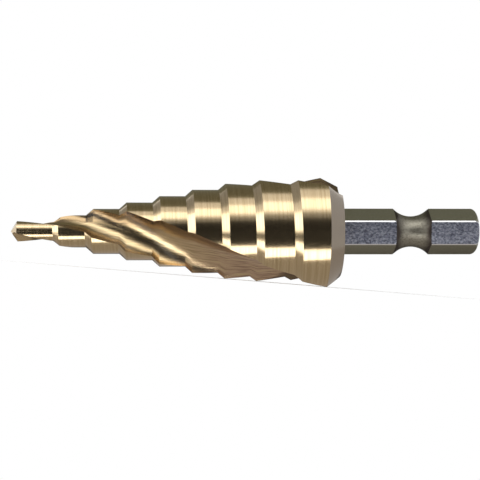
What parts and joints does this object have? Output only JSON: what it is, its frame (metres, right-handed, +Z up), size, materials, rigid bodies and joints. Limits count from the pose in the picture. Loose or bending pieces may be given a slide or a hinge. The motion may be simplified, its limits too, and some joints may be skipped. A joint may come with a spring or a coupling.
{
  "type": "step drill",
  "caption": "Spiral-fluted step drill with a small pilot point, stepped conical body and hexagonal quick-change shank, lying on its side.",
  "frame": {"origin": "centre of the bounding box in plan, on the ground that the drill lies on", "axes": "+X from the point to the shank along the ground, +Y across, +Z up; the drill's own axis rises 4.8 degrees towards the shank"},
  "size_m": [0.073, 0.019, 0.0173],
  "materials": {
    "coated_steel": "bronze-coloured coating on turned and ground steel; the hexagonal shank is bare steel"
  },
  "bodies": {
    "root": {"step_drill": "coated_steel"}
  },
  "joints": []
}
